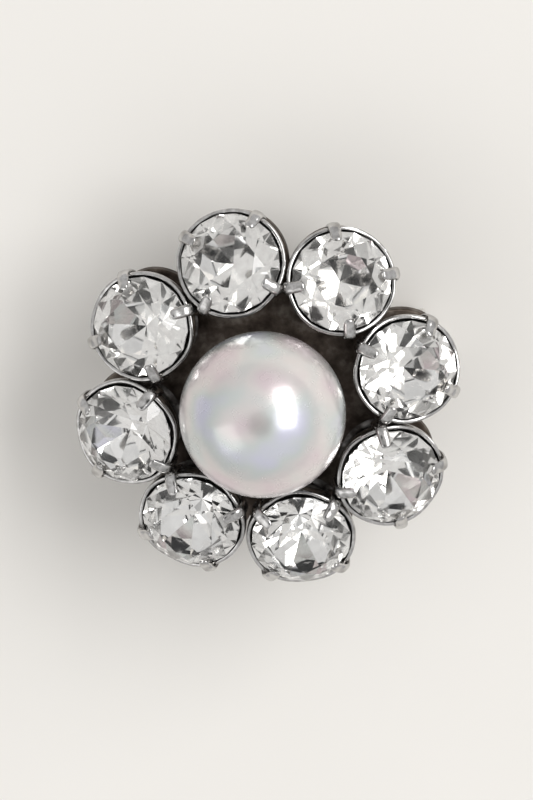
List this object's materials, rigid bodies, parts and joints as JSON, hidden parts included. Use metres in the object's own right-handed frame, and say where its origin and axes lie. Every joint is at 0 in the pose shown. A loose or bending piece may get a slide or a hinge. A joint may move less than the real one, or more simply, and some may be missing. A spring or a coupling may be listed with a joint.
{
  "type": "brooch",
  "caption": "Round flower-cluster brooch: a raised simulated pearl ringed by claw-set round crystals, with a hinged pin and a turning safety catch behind.",
  "frame": {"origin": "centre of the pad on the pin bar's rear face, which bears on the cloth", "axes": "+Z out of the front of the brooch, +X along the pin bar from the hinge to the catch, +Y square to both"},
  "size_m": [0.0238, 0.0237, 0.0184],
  "materials": {
    "pearl": "pearlescent lacquer on a bead, soft gloss with faint pink, blue and green tints",
    "crystal": "faceted clear glass, foil-backed",
    "setting_metal": "antiqued silver plate over brass, dark in the recesses and bright on the claws",
    "silver_plate": "silver plate over brass, softly tumbled",
    "antiqued_plate": "blackened silver plate over brass",
    "steel": "drawn steel wire, polished at the point"
  },
  "bodies": {
    "cluster": {"pearl": "pearl", "pearl_cup": "silver_plate", "pearl_post": "silver_plate", "back_plate": "antiqued_plate", "pin_bar": "silver_plate", "hinge_bracket": "silver_plate", "hinge_rivet": "steel", "catch_housing": "silver_plate", "crystal_1": "crystal", "crystal_2": "crystal", "crystal_3": "crystal", "crystal_4": "crystal", "crystal_5": "crystal", "crystal_6": "crystal", "crystal_7": "crystal", "crystal_8": "crystal", "claw_setting_1": "setting_metal", "claw_setting_2": "setting_metal", "claw_setting_3": "setting_metal", "claw_setting_4": "setting_metal", "claw_setting_5": "setting_metal", "claw_setting_6": "setting_metal", "claw_setting_7": "setting_metal", "claw_setting_8": "setting_metal"},
    "stem": {"pin_stem": "steel"},
    "barrel": {"catch_barrel": "silver_plate"}
  },
  "joints": [
    {"name": "stem_swing", "type": "hinge", "parent": "cluster", "child": "stem", "pos_m": [-0.0086, 0, -0.003], "axis": [0, 1, 0], "range_deg": [0, 95]},
    {"name": "catch_lock", "type": "hinge", "parent": "cluster", "child": "barrel", "pos_m": [0.0083, 0, -0.003], "axis": [-1, 0, 0], "range_deg": [0, 85]}
  ]
}
